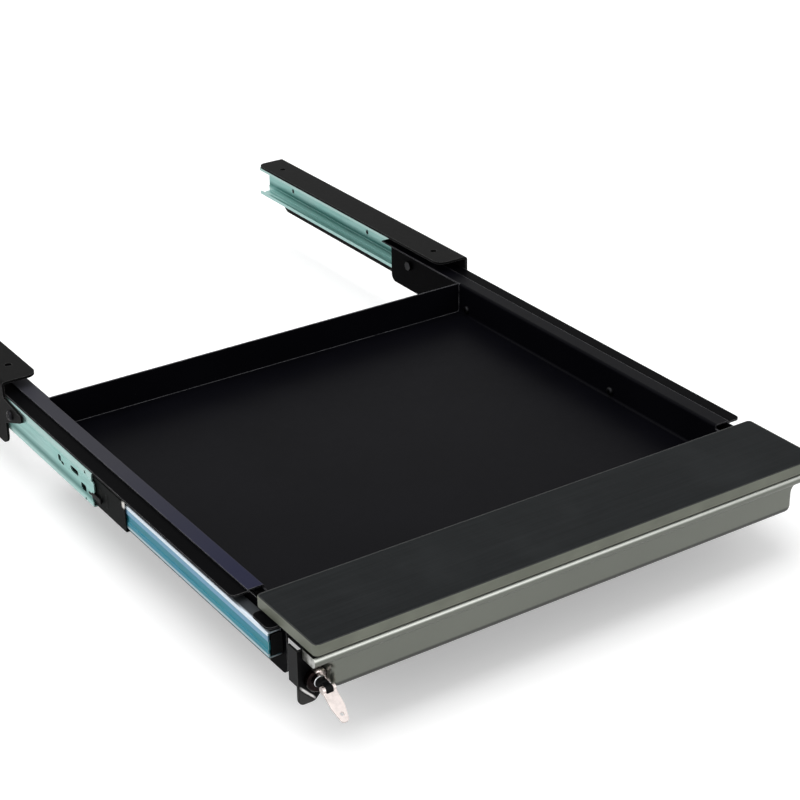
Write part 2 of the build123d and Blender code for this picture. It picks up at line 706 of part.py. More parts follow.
# front channel: joins pan, board and panel, and carries the lock on its wing
channel_inner_y = channel_web_y + channel_gauge
with BuildPart() as front_channel:
    with BuildSketch(side_plane(-channel_half_width)):
        channel_line = [
            (channel_rear_y, deck_z),
            (channel_web_y, deck_z),
            (channel_web_y, channel_bottom_z),
            (channel_rear_y, channel_bottom_z),
        ]
        make_face(folded(channel_line, channel_gauge, channel_gauge + 0.5, Side.LEFT))
    extrude(amount=2 * channel_half_width)
    with BuildSketch(front_plane(channel_inner_y)) as wing:
        with BuildLine():
            Polyline(
                (wing_root_x, deck_z - 2),
                (wing_x, deck_z - 2),
                (wing_x, wing_bottom_z),
                (wing_x + wing_foot, wing_bottom_z),
                (wing_root_x, channel_bottom_z + 2),
                close=True,
            )
        make_face()
        fillet(wing.vertices().group_by(Axis.Y)[0], 4)
    extrude(amount=channel_gauge)
    with BuildSketch(side_plane(wing_x)):
        with Locations((channel_web_y + wing_return_depth / 2, (deck_z - 2 + wing_return_bottom_z) / 2)):
            Rectangle(wing_return_depth, deck_z - 2 - wing_return_bottom_z)
    extrude(amount=channel_gauge)
    # relief round the lock, then the bores
    with BuildSketch(Plane.XY.offset(channel_bottom_z)):
        with Locations(((wing_root_x - channel_half_width) / 2, (channel_inner_y + channel_rear_y) / 2)):
            Rectangle(channel_half_width + wing_root_x, channel_rear_y - channel_inner_y)
    extrude(amount=2 * channel_gauge, mode=Mode.SUBTRACT)
    with BuildSketch(front_plane(channel_inner_y)):
        with Locations((lock_x, lock_z)):
            Circle(lock_bore / 2 + screw_gap)
        with Locations([(x, panel_screw_z) for x in board_screw_xs]):
            Circle(panel_screw / 2 + screw_gap)
    extrude(amount=channel_gauge, mode=Mode.SUBTRACT)
    with BuildSketch(Plane.XY.offset(deck_z)):
        board_screw_y = channel_web_y + channel_depth / 2
        with Locations([(x, board_screw_y) for x in board_screw_xs]):
            Circle(board_screw / 2 + screw_gap)
    extrude(amount=-channel_gauge, mode=Mode.SUBTRACT)
    with BuildSketch(Plane.XY.offset(channel_bottom_z)):
        with Locations([(x, floor_screw_y) for x in floor_screw_xs]):
            Circle(board_screw / 2 + screw_gap)
    extrude(amount=channel_gauge, mode=Mode.SUBTRACT)
front_channel.part.label = "front_channel"
export_step(front_channel.part, "parts/front_channel.step")

# from below, with their ends flush with the pan's floor
with BuildPart() as floor_screws:
    with BuildSketch(Plane.XY.offset(channel_bottom_z)):
        with Locations([(x, floor_screw_y) for x in floor_screw_xs]):
            RegularPolygon(board_screw_flats / 2, 6, major_radius=False)
    extrude(amount=-board_screw_head_height)
    with BuildSketch(Plane.XY.offset(channel_bottom_z)):
        with Locations([(x, floor_screw_y) for x in floor_screw_xs]):
            RegularPolygon(board_screw / 2, shank_sides)
    extrude(amount=channel_gauge + pan_gauge)
floor_screws.part.label = "floor_screws"
export_step(floor_screws.part, "parts/floor_screws.step")

# writing board: core, edge band, screws from below
board_mid_y = (board_rear_y + board_front_y) / 2
board_height = board_top_z - deck_z
with BuildPart() as board_core:
    with BuildSketch(Plane.XY.offset(deck_z)):
        with Locations((0, board_mid_y)):
            RectangleRounded(
                2 * (board_half_width - edge_band_width),
                board_depth - 2 * edge_band_width,
                board_corner,
            )
    extrude(amount=board_height)
    with BuildSketch(Plane.XY.offset(deck_z)):
        with Locations([(x, board_screw_y) for x in board_screw_xs]):
            Circle(board_screw / 2 + screw_gap)
    extrude(amount=board_screw_bite, mode=Mode.SUBTRACT)
board_core.part.label = "board_core"
export_step(board_core.part, "parts/board_core.step")

with BuildPart() as board_edge_band:
    with BuildSketch(Plane.XY.offset(deck_z)):
        with Locations((0, board_mid_y)):
            RectangleRounded(2 * board_half_width, board_depth, board_corner + edge_band_width)
    extrude(amount=board_height)
    chamfer(board_edge_band.edges().group_by(Axis.Z)[-1], edge_band_width / 3)
    with BuildSketch(Plane.XY.offset(deck_z)):
        with Locations((0, board_mid_y)):
            RectangleRounded(
                2 * (board_half_width - edge_band_width),
                board_depth - 2 * edge_band_width,
                board_corner,
            )
    extrude(amount=board_height, mode=Mode.SUBTRACT)
board_edge_band.part.label = "board_edge_band"
export_step(board_edge_band.part, "parts/board_edge_band.step")

with BuildPart() as board_screws:
    with BuildSketch(Plane.XY.offset(deck_z - channel_gauge)):
        with Locations([(x, board_screw_y) for x in board_screw_xs]):
            RegularPolygon(board_screw_flats / 2, 6, major_radius=False)
    extrude(amount=-board_screw_head_height)
    with BuildSketch(Plane.XY.offset(deck_z - channel_gauge)):
        with Locations([(x, board_screw_y) for x in board_screw_xs]):
            RegularPolygon(board_screw / 2, shank_sides)
    extrude(amount=channel_gauge + board_screw_bite)
board_screws.part.label = "board_screws"
export_step(board_screws.part, "parts/board_screws.step")

# front panel: pressed sheet, full-width nose above a narrower face
panel_face_y = board_front_y + panel_nose_reach
panel_nose_bottom_z = panel_top_z - panel_nose_height
panel_outline = [
    (-panel_half_width, panel_top_z),
    (panel_half_width, panel_top_z),
    (panel_half_width, panel_nose_bottom_z),
    (panel_face_right_x, panel_nose_bottom_z),
    (panel_face_right_x, panel_bottom_z),
    (panel_face_left_x, panel_bottom_z),
    (panel_face_left_x, panel_nose_bottom_z),
    (-panel_half_width, panel_nose_bottom_z),
]
with BuildPart() as front_panel:
    with BuildSketch(front_plane(channel_web_y)) as panel_sketch:
        with BuildLine():
            Polyline(*panel_outline, close=True)
        make_face()
        fillet(panel_sketch.vertices().group_by(Axis.Y)[0], panel_corner)
        throats = panel_sketch.vertices().filter_by(
            lambda c: abs(c.Y - panel_nose_bottom_z) < 0.01 and abs(c.X) < panel_half_width - 1
        )
        fillet(throats, panel_throat)
    extrude(amount=channel_web_y - panel_face_y)
    fillet(front_panel.faces().sort_by(Axis.Y)[0].edges(), panel_edge)
    with BuildSketch(Plane.YZ.offset(-panel_half_width)) as nose:
        with Locations((board_front_y + panel_nose_height, panel_top_z - panel_nose_height / 2)):
            Rectangle(2 * panel_nose_height, panel_nose_height)
        fillet(nose.vertices().group_by(Axis.X)[0], 0.45 * panel_nose_height)
    extrude(amount=2 * panel_half_width)
    with BuildSketch(front_plane(channel_web_y - panel_gauge)) as cavity:
        with BuildLine():
            Polyline(*panel_outline, close=True)
        make_face()
        offset(amount=-panel_edge, kind=Kind.INTERSECTION)
    extrude(amount=channel_web_y - panel_face_y - 2 * panel_gauge, mode=Mode.SUBTRACT)
    with BuildSketch(front_plane(channel_web_y)):
        window_top_z = panel_screw_z - panel_screw_flats
        window_bottom_z = panel_bottom_z + panel_edge
        window_left_x = panel_face_left_x + lock_face
        window_right_x = panel_face_right_x - panel_window_margin
        with Locations(((window_left_x + window_right_x) / 2, (window_top_z + window_bottom_z) / 2)):
            Rectangle(window_right_x - window_left_x, window_top_z - window_bottom_z)
    extrude(amount=2 * panel_gauge, mode=Mode.SUBTRACT)
    with BuildSketch(front_plane(channel_web_y)):
        with Locations((lock_x, lock_z)):
            Circle(lock_face / 2 + 0.4)
    extrude(amount=lock_face_height + 0.8, mode=Mode.SUBTRACT)
    with BuildSketch(front_plane(channel_web_y)):
        with Locations([(x, panel_screw_z) for x in board_screw_xs]):
            Circle(panel_screw / 2 + screw_gap)
    extrude(amount=panel_gauge, mode=Mode.SUBTRACT)
front_panel.part.label = "front_panel"
export_step(front_panel.part, "parts/front_panel.step")

with BuildPart() as panel_screws:
    with BuildSketch(front_plane(channel_inner_y)):
        with Locations([(x, panel_screw_z) for x in board_screw_xs]):
            RegularPolygon(panel_screw_flats / 2, 6, major_radius=False)
    extrude(amount=-panel_gauge)
    with BuildSketch(front_plane(channel_inner_y)):
        with Locations([(x, panel_screw_z) for x in board_screw_xs]):
            RegularPolygon(panel_screw / 2, shank_sides)
    extrude(amount=channel_gauge + panel_gauge)
panel_screws.part.label = "panel_screws"
export_step(panel_screws.part, "parts/panel_screws.step")

# lock: flanged housing through the wing, nut, plug, cam and its screw
lock_at = (lock_x, lock_z)
lock_rear_y = channel_web_y + lock_body_length
plug_front_y = channel_web_y - lock_face_height - plug_proud
cam_front_y = lock_rear_y + cam_gap
with BuildPart() as lock_housing:
    with BuildSketch(front_plane(channel_web_y)):
        with Locations(lock_at):
            Circle(lock_face / 2)
    extrude(amount=lock_face_height)
    chamfer(lock_housing.edges().group_by(Axis.Y)[0], lock_face_chamfer)
    with BuildSketch(front_plane(lock_rear_y)):
        with Locations(lock_at):
            Circle(lock_bore / 2)
    extrude(amount=lock_body_length)
    with BuildSketch(front_plane(lock_rear_y)):
        with Locations(lock_at):
            Circle(plug_diameter / 2 + plug_fit)
    extrude(amount=lock_body_length + lock_face_height, mode=Mode.SUBTRACT)
lock_housing.part.label = "lock_housing"
export_step(lock_housing.part, "parts/lock_housing.step")

with BuildPart() as lock_nut:
    with BuildSketch(front_plane(channel_inner_y)):
        with Locations(lock_at):
            RegularPolygon(lock_nut_flats / 2, 6, major_radius=False, rotation=30)
            Circle(lock_bore / 2 + screw_gap, mode=Mode.SUBTRACT)
    extrude(amount=-lock_nut_height)
lock_nut.part.label = "lock_nut"
export_step(lock_nut.part, "parts/lock_nut.step")

with BuildPart() as lock_plug:
    with BuildSketch(front_plane(cam_front_y)):
        with Locations(lock_at):
            Circle(plug_diameter / 2)
    extrude(amount=cam_front_y - plug_front_y)
    chamfer(lock_plug.edges().group_by(Axis.Y)[0], 0.4)
    with BuildSketch(front_plane(plug_front_y)):
        with Locations(lock_at):
            Rectangle(key_blade_width + 0.2, key_blade_height + 0.2)
    extrude(amount=-key_blade_length - 0.5, mode=Mode.SUBTRACT)
    with BuildSketch(front_plane(cam_front_y)):
        with Locations(lock_at):
            Circle(cam_screw / 2 + screw_gap)
    extrude(amount=cam_screw_bite, mode=Mode.SUBTRACT)
lock_plug.part.label = "lock_plug"
export_step(lock_plug.part, "parts/lock_plug.step")

with BuildPart() as lock_cam:
    with BuildSketch(front_plane(cam_front_y + cam_thickness)) as cam:
        with Locations(lock_at):
            Circle(cam_width / 2)
        with Locations((lock_x, lock_z - cam_length / 2)):
            Rectangle(cam_width, cam_length)
        fillet(cam.vertices().group_by(Axis.Y)[0], 2)
        with Locations(lock_at):
            Circle(cam_screw / 2 + screw_gap, mode=Mode.SUBTRACT)
    extrude(amount=cam_thickness)
lock_cam.part.label = "lock_cam"
export_step(lock_cam.part, "parts/lock_cam.step")

with BuildPart() as lock_cam_screw:
    with BuildSketch(front_plane(cam_front_y + cam_thickness + cam_screw_head_height)):
        with Locations(lock_at):
            Circle(cam_screw_head / 2)
    extrude(amount=cam_screw_head_height)
    with BuildSketch(front_plane(cam_front_y + cam_thickness)):
        with Locations(lock_at):
            Circle(cam_screw / 2)
    extrude(amount=cam_thickness + cam_screw_bite - 0.5)
lock_cam_screw.part.label = "lock_cam_screw"
export_step(lock_cam_screw.part, "parts/lock_cam_screw.step")

# key: blade and hub in one moulding, bow that folds about a cross pin
pin_y = plug_front_y - hub_length
with BuildPart() as key_hub:
    with BuildSketch(front_plane(plug_front_y)):
        with Locations(lock_at):
            Circle(hub_diameter / 2)
    extrude(amount=hub_collar)
    chamfer(key_hub.edges().group_by(Axis.Y)[0], 0.6)
    with BuildSketch(front_plane(plug_front_y)):
        with Locations(lock_at):
            Rectangle(key_blade_width, key_blade_height)
    extrude(amount=-key_blade_length)
    with BuildSketch(side_plane(lock_x - hub_tongue / 2)):
        with Locations((pin_y, lock_z)):
            Circle(knuckle_radius)
        with Locations(((pin_y + plug_front_y - hub_collar / 2) / 2, lock_z)):
            Rectangle(plug_front_y - hub_collar / 2 - pin_y, 2 * knuckle_radius)
        with Locations((pin_y, lock_z)):
            Circle(key_pin / 2 + key_pin_fit, mode=Mode.SUBTRACT)
    extrude(amount=hub_tongue)
key_hub.part.label = "key_hub"
export_step(key_hub.part, "parts/key_hub.step")

with BuildPart() as key_pivot_pin:
    with BuildSketch(side_plane(lock_x - key_bow_width / 2)):
        with Locations((pin_y, lock_z)):
            Circle(key_pin / 2)
    extrude(amount=key_bow_width)
key_pivot_pin.part.label = "key_pivot_pin"
export_step(key_pivot_pin.part, "parts/key_pivot_pin.step")

# the bow is drawn in its own plane, along the direction in which it hangs in the lock
bow_plane = Plane(
    origin=(lock_x, pin_y, lock_z),
    x_dir=(1, 0, 0),
    z_dir=Vector(0, 0, 1).rotate(Axis.X, key_bow_drop),
)
with BuildPart() as key_bow:
    with BuildSketch(bow_plane.offset(-key_bow_thickness / 2)) as bow:
        with BuildLine():
            Polyline(
                (-key_bow_width / 2, 0),
                (-key_bow_width / 2, -0.55 * key_bow_length),
                (-key_bow_tip / 2, -key_bow_length),
                (key_bow_tip / 2, -key_bow_length),
                (key_bow_width / 2, -0.55 * key_bow_length),
                (key_bow_width / 2, 0),
                close=True,
            )
        make_face()
        fillet(bow.vertices().group_by(Axis.Y)[0], 0.45 * key_bow_tip)
        fillet(bow.vertices().filter_by(lambda c: abs(c.Y + 0.55 * key_bow_length) < 0.01), 6)
        with Locations((0, -key_bow_length + 5)):
            Circle(key_bow_hole / 2, mode=Mode.SUBTRACT)
        with Locations((0, 0)):
            Rectangle(
                hub_tongue + 2 * key_slot_gap,
                2 * (knuckle_radius + key_slot_gap),
                mode=Mode.SUBTRACT,
            )
    extrude(amount=key_bow_thickness)
    with BuildSketch(side_plane(lock_x + hub_tongue / 2 + key_slot_gap)):
        with Locations((pin_y, lock_z)):
            Circle(knuckle_radius - 0.2)
    extrude(amount=key_bow_width / 2 - hub_tongue / 2 - key_slot_gap)
    mirror(key_bow.part, about=Plane.YZ.offset(lock_x))
    with BuildSketch(side_plane(lock_x - key_bow_width / 2)):
        with Locations((pin_y, lock_z)):
            Circle(key_pin / 2)
    extrude(amount=key_bow_width, mode=Mode.SUBTRACT)
key_bow.part.label = "key_bow"
export_step(key_bow.part, "parts/key_bow.step")
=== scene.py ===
import json
import math

import bmesh
import bpy
from mathutils import Matrix, Vector


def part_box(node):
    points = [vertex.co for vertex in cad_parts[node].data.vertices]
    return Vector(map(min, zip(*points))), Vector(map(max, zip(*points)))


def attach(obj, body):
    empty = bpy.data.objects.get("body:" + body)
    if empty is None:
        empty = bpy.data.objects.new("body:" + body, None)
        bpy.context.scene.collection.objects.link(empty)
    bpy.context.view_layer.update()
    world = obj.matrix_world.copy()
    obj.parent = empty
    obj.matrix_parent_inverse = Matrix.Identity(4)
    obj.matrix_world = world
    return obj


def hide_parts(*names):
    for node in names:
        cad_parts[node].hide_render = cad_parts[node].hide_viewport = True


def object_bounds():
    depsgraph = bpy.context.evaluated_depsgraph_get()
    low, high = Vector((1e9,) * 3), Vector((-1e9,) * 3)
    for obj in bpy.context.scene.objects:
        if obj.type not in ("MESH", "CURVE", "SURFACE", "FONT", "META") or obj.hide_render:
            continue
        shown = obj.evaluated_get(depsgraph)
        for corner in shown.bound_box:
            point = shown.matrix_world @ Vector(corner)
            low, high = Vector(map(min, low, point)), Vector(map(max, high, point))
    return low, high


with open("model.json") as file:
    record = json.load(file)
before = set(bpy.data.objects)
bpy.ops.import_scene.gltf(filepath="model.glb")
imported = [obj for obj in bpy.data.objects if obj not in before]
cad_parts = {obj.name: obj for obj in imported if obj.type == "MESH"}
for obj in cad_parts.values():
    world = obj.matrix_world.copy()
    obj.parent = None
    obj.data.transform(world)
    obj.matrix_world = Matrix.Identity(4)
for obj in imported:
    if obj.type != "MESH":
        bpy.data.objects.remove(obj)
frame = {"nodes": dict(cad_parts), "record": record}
cad_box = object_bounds()
nodes = frame["nodes"]
record = frame["record"]

MM = 0.001

# Places taken from the solids.
slide_low, slide_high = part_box("outer_member_left")
cage_low, cage_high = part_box("outer_cage_left")
lock_low, lock_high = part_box("lock_plug")
pan_low, pan_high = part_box("tray_pan")
panel_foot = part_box("front_panel")[0].z
slide_axis = (slide_low.z + slide_high.z) / 2
slide_back = -slide_low.x
lock_x = (lock_low.x + lock_high.x) / 2
lock_z = (lock_low.z + lock_high.z) / 2


def paint(red, green, blue):
    """A colour given as it looks on a screen, 0 to 255, turned into scene light."""
    linear = []
    for level in (red, green, blue):
        level = level / 255
        linear.append(level / 12.92 if level <= 0.04045 else ((level + 0.055) / 1.055) ** 2.4)
    return (*linear, 1)


def toned(tint, share=1.0, lift=0):
    """The tint made lighter or darker: each level times share, plus lift."""
    return paint(*(min(255, level * share + lift) for level in tint))


class Amount:
    """A number that varies over a surface. Arithmetic on it adds Math nodes."""

    def __init__(self, owner, socket):
        self.owner = owner
        self.socket = socket

    def maths(self, operation, *terms, clamp=False):
        settings = {"operation": operation, "use_clamp": clamp}
        node = self.owner.node("ShaderNodeMath", settings, dict(enumerate(terms)))
        return Amount(self.owner, node.outputs[0])

    def __add__(self, other):
        return self.maths("ADD", self, other)

    def __radd__(self, other):
        return self.maths("ADD", other, self)

    def __sub__(self, other):
        return self.maths("SUBTRACT", self, other)

    def __rsub__(self, other):
        return self.maths("SUBTRACT", other, self)

    def __mul__(self, other):
        return self.maths("MULTIPLY", self, other)

    def __rmul__(self, other):
        return self.maths("MULTIPLY", other, self)

    def __abs__(self):
        return self.maths("ABSOLUTE", self)

    def most(self, other):
        """The larger of the two."""
        return self.maths("MAXIMUM", self, other)

    def between(self, low, high):
        """0 at low, 1 at high, and straight between them."""
        return self.maths("MULTIPLY", self - low, 1 / (high - low), clamp=True)

    def within(self, low, high, fade):
        """1 from low to high, falling to 0 over fade on both sides."""
        return self.between(low - fade, low) * (1 - self.between(high, high + fade))


class Nodes:
    """A tree of nodes under construction."""

    def __init__(self, tree):
        self.tree = tree

    def feed(self, socket, value):
        """Link an input to an amount or a socket, or give it a fixed value."""
        if isinstance(value, Amount):
            value = value.socket
        if isinstance(value, bpy.types.NodeSocket):
            self.tree.links.new(value, socket)
        else:
            socket.default_value = value

    def node(self, kind, settings=None, inputs=None):
        """A new node with its settings made and its inputs fed."""
        node = self.tree.nodes.new(kind)
        for name, value in (settings or {}).items():
            setattr(node, name, value)
        for name, value in (inputs or {}).items():
            self.feed(node.inputs[name], value)
        return node


class Finish(Nodes):
    """A finish under construction: one material on Object coordinates."""

    BEVEL_SAMPLES = 6
    EDGE_LEAN = (0.02, 0.22)  # of the rounded normal, where an edge starts to show and shows in full

    def __init__(self, name):
        self.material = bpy.data.materials.new(name)
        self.material.use_nodes = True
        super().__init__(self.material.node_tree)
        self.shader = self.tree.nodes["Principled BSDF"]
        self.place = self.node("ShaderNodeTexCoord").outputs["Object"]

    def pattern(self, kind, size, inputs, stretch=(1, 1, 1), offset=(0, 0, 0)):
        """A texture node whose features are about size metres wide, drawn out along an axis by stretch."""
        scale = tuple(1 / (size * pull) for pull in stretch)
        mapping = {"Vector": self.place, "Location": offset, "Scale": scale}
        spot = self.node("ShaderNodeMapping", None, mapping).outputs[0]
        return Amount(self, self.node(kind, None, {"Vector": spot, "Scale": 1.0, **inputs}).outputs[0])

    def noise(self, size, detail, roughness, **layout):
        """Cloudy noise."""
        inputs = {"Detail": detail, "Roughness": roughness}
        return self.pattern("ShaderNodeTexNoise", size, inputs, **layout)

    def flecks(self, size):
        """Distance to the nearest of many scattered points."""
        return self.pattern("ShaderNodeTexVoronoi", size, {})

    def part_of(self, vector, name):
        """The X, Y or Z of a vector."""
        return Amount(self, self.node("ShaderNodeSeparateXYZ", None, {0: vector}).outputs[name])

    def axis(self, name):
        """Object coordinate X, Y or Z in metres."""
        return self.part_of(self.place, name)

    def facing(self, name):
        """How far the surface faces along X, Y or Z, from -1 to 1."""
        return self.part_of(self.node("ShaderNodeNewGeometry").outputs["Normal"], name)

    def softened(self, radius):
        """The surface's normal, rounded over within radius of an edge."""
        return self.node("ShaderNodeBevel", {"samples": self.BEVEL_SAMPLES}, {"Radius": radius}).outputs[0]

    def edges(self, radius, reach=None):
        """0 on flat ground and 1 within about reach of an edge, with a normal softened by radius."""
        soft = self.softened(radius)
        wide = self.softened(reach) if reach else soft
        hard = self.node("ShaderNodeNewGeometry").outputs["Normal"]
        dot = self.node("ShaderNodeVectorMath", {"operation": "DOT_PRODUCT"}, {0: wide, 1: hard})
        along = Amount(self, dot.outputs["Value"])
        return (1 - along).between(*self.EDGE_LEAN), soft

    def zone(self, **spans):
        """1 inside a box given by (low, high, fade) for X, Y or Z, with a soft edge fade metres wide."""
        inside = None
        for name, span in spans.items():
            part = self.axis(name).within(*span)
            inside = inside * part if inside else part
        return inside

    def blend(self, first, second, factor):
        """From the first colour at a factor of 0 to the second at 1."""
        inputs = {0: factor, 6: first, 7: second}
        return self.node("ShaderNodeMix", {"data_type": "RGBA"}, inputs).outputs[2]

    def bump(self, height, distance, strength, normal):
        """The normal, tilted by a height that spans distance metres."""
        inputs = {"Height": height, "Distance": distance, "Strength": strength, "Normal": normal}
        return self.node("ShaderNodeBump", None, inputs).outputs[0]

    def set(self, **inputs):
        """Feed inputs of the shader, named with _ for a space, and give the material."""
        for name, value in inputs.items():
            self.feed(self.shader.inputs[name.replace("_", " ")], value)
        return self.material


# Zinc: the colour of the painted shade in the track, how softly that shade ends, and how far a band's
# edges wander.
TRACK_SHADE = (13, 14, 14)
TRACK_SHADE_FADE = 1.5 * MM
BAND_WANDER = 0.8 * MM


def zinc(name, tint, shade, light_bands, track=None):
    """Zinc-plated strip: cloudy passivation, rolling marks along the slide and bright rubbed edges.

    Each band is (low, high, fade, colour, strength), a range of heights painted brighter or darker:
    painted highlights on the slide's bends and painted shade along its steps. The track is the inner
    edge of the web; inside it, up-facing zinc is painted near black as painted shade.
    """
    finish = Finish(name)
    cloud = finish.noise(22 * MM, 4, 0.6, stretch=(1, 2.5, 1))
    rolling = finish.noise(0.4 * MM, 2, 0.5, stretch=(1, 160, 1))
    speck = finish.noise(1.4 * MM, 3, 0.7)
    smear = finish.noise(3 * MM, 3, 0.6, stretch=(1, 16, 1), offset=(2, 1, 4))
    rub, soft = finish.edges(0.35 * MM)
    skin = finish.blend(paint(*tint), paint(*shade), cloud.between(0.38, 0.68))
    skin = finish.blend(skin, toned(tint, share=0.8), smear.between(0.50, 0.75) * 0.5)
    height = finish.axis("Z") + (smear - 0.5) * BAND_WANDER
    # Painted highlights and painted shade, band by band, at set heights.
    for low, high, fade, colour, strength in light_bands:
        skin = finish.blend(skin, paint(*colour), height.within(low, high, fade) * strength)
    skin = finish.blend(skin, paint(232, 240, 238), rub * 0.6)
    skin = finish.blend(skin, toned(tint, share=0.7), speck.between(0.62, 0.8) * 0.3)
    metal = 0.9
    if track:
        # Painted shade: up-facing zinc inside the track is painted near black and made less metallic.
        inside = 1 - abs(finish.axis("X")).between(track - TRACK_SHADE_FADE, track)
        track_shade = inside * finish.facing("Z").between(0.5, 0.9)
        skin = finish.blend(skin, paint(*TRACK_SHADE), track_shade * 0.95)
        metal = metal - track_shade * 0.85
    return finish.set(
        Specular_IOR_Level=0.05,
        Base_Color=skin,
        Metallic=metal,
        Roughness=0.24 + cloud * 0.14 + speck * 0.08 - rub * 0.06,
        Normal=finish.bump(rolling * 0.6 + speck * 0.4, 0.02 * MM, 0.4, soft),
    )


# The cage's bright corner: how far back and down from the corner it is bright, and how softly it ends.
CORNER_BACK = 1.5 * MM
CORNER_BACK_FADE = 2.5 * MM
CORNER_DOWN = 3 * MM
CORNER_DOWN_FADE = 2 * MM


def cage_strip(name, tint, corner_y, corner_z):
    """Dark cage strip, ribbed and oiled, with a corner painted bright at its front end."""
    finish = Finish(name)
    oil = finish.noise(3 * MM, 4, 0.6)
    rolling = finish.noise(0.3 * MM, 2, 0.5, stretch=(1, 40, 1))
    rub, soft = finish.edges(0.25 * MM)
    back = corner_y + CORNER_BACK
    down = corner_z - CORNER_DOWN
    in_front = 1 - finish.axis("Y").between(back, back + CORNER_BACK_FADE)
    near = in_front * finish.axis("Z").between(down - CORNER_DOWN_FADE, down)
    skin = finish.blend(paint(*tint), toned(tint, share=1.6), oil.between(0.4, 0.7))
    skin = finish.blend(skin, paint(110, 112, 110), rub * 0.5)
    return finish.set(
        Specular_IOR_Level=0.02,
        Base_Color=finish.blend(skin, paint(226, 222, 216), near),
        Roughness=0.42 + oil * 0.15 - near * 0.2,
        Normal=finish.bump(rolling + oil * 0.4, 0.02 * MM, 0.5, soft),
    )


def powder(name, tint, rough, gleam, grain, edge_wear_and_highlight=0.8, reach=0.5 * MM, sheen_patches=()):
    """Powder paint: fine orange peel, faint colour drift, specks of lint and a lighter rubbed edge, partly
    wear and partly a painted highlight.

    Each sheen patch is (colour, spans), a patch on top painted another colour as a painted reflection.
    """
    finish = Finish(name)
    peel = finish.noise(grain, 2, 0.5)
    drift = finish.noise(60 * MM, 3, 0.5)
    dust = finish.noise(6 * MM, 5, 0.7)
    lint = finish.flecks(9 * MM)
    rub, soft = finish.edges(0.4 * MM, reach)
    skin = finish.blend(paint(*tint), toned(tint, share=1.25, lift=1), drift.between(0.3, 0.7))
    # Painted reflections: up-facing patches given another colour.
    for colour, spans in sheen_patches:
        on_top = finish.facing("Z").between(0.8, 0.95)
        skin = finish.blend(skin, paint(*colour), on_top * finish.zone(**spans))
    skin = finish.blend(skin, toned(tint, lift=34), (1 - lint.between(0.02, 0.05)) * 0.5)
    # Lighter edges: partly wear, partly a painted highlight along the sheet's bends.
    skin = finish.blend(skin, toned(tint, lift=100), rub * dust.between(0.25, 0.55) * edge_wear_and_highlight)
    return finish.set(
        Specular_IOR_Level=gleam,
        Base_Color=skin,
        Roughness=rough + dust * 0.10 - rub * 0.05,
        Normal=finish.bump(peel, 0.04 * MM, 0.3, soft),
    )


def laminate(name, dark, light):
    """Dark board laminate with fine streaks along its length."""
    finish = Finish(name)
    streak = finish.noise(0.55 * MM, 3, 0.65, stretch=(60, 1, 1))
    broad = finish.noise(3.2 * MM, 3, 0.6, stretch=(36, 1, 1))
    cross = finish.noise(0.9 * MM, 3, 0.6, stretch=(1, 24, 1), offset=(4, 2, 1))
    patch = finish.noise(50 * MM, 3, 0.5)
    rub, soft = finish.edges(0.4 * MM)
    lines = (streak * 0.55 + broad * 0.30 + cross * 0.15).between(0.36, 0.66)
    skin = finish.blend(paint(*dark), paint(*light), lines)
    skin = finish.blend(skin, toned(light, lift=14), patch.between(0.5, 0.8) * 0.3)
    return finish.set(
        Specular_IOR_Level=0.035,
        Base_Color=finish.blend(skin, paint(92, 94, 92), rub * 0.45),
        Roughness=0.46 + streak * 0.14 + patch * 0.08,
        Normal=finish.bump(streak + cross * 0.5, 0.04 * MM, 0.4, soft),
    )


def moulded(name, tint, rough, gleam, top=None):
    """Moulded plastic with a fine spark-eroded grain, and on top another colour if one is given."""
    finish = Finish(name)
    grain = finish.noise(0.45 * MM, 3, 0.6)
    drift = finish.noise(20 * MM, 3, 0.5)
    rub, soft = finish.edges(0.35 * MM)
    skin = finish.blend(paint(*tint), toned(tint, share=1.08, lift=2), drift.between(0.35, 0.7))
    skin = finish.blend(skin, toned(tint, share=1.25, lift=14), rub * 0.5)
    if top:
        skin = finish.blend(skin, paint(*top), finish.facing("Z").between(0.8, 0.9))
    return finish.set(
        Specular_IOR_Level=gleam,
        Base_Color=skin,
        Roughness=rough + grain * 0.12,
        Normal=finish.bump(grain, 0.03 * MM, 0.4, soft),
    )


# Heights above the panel's foot: the top of its painted shade line, and the lower end of the painted light
# on the nose's left face.
FOOT_SHADE = 3.0 * MM
FOOT_SHADE_FADE = 1.2 * MM
NOSE_END = 19 * MM
NOSE_END_FADE = 1 * MM


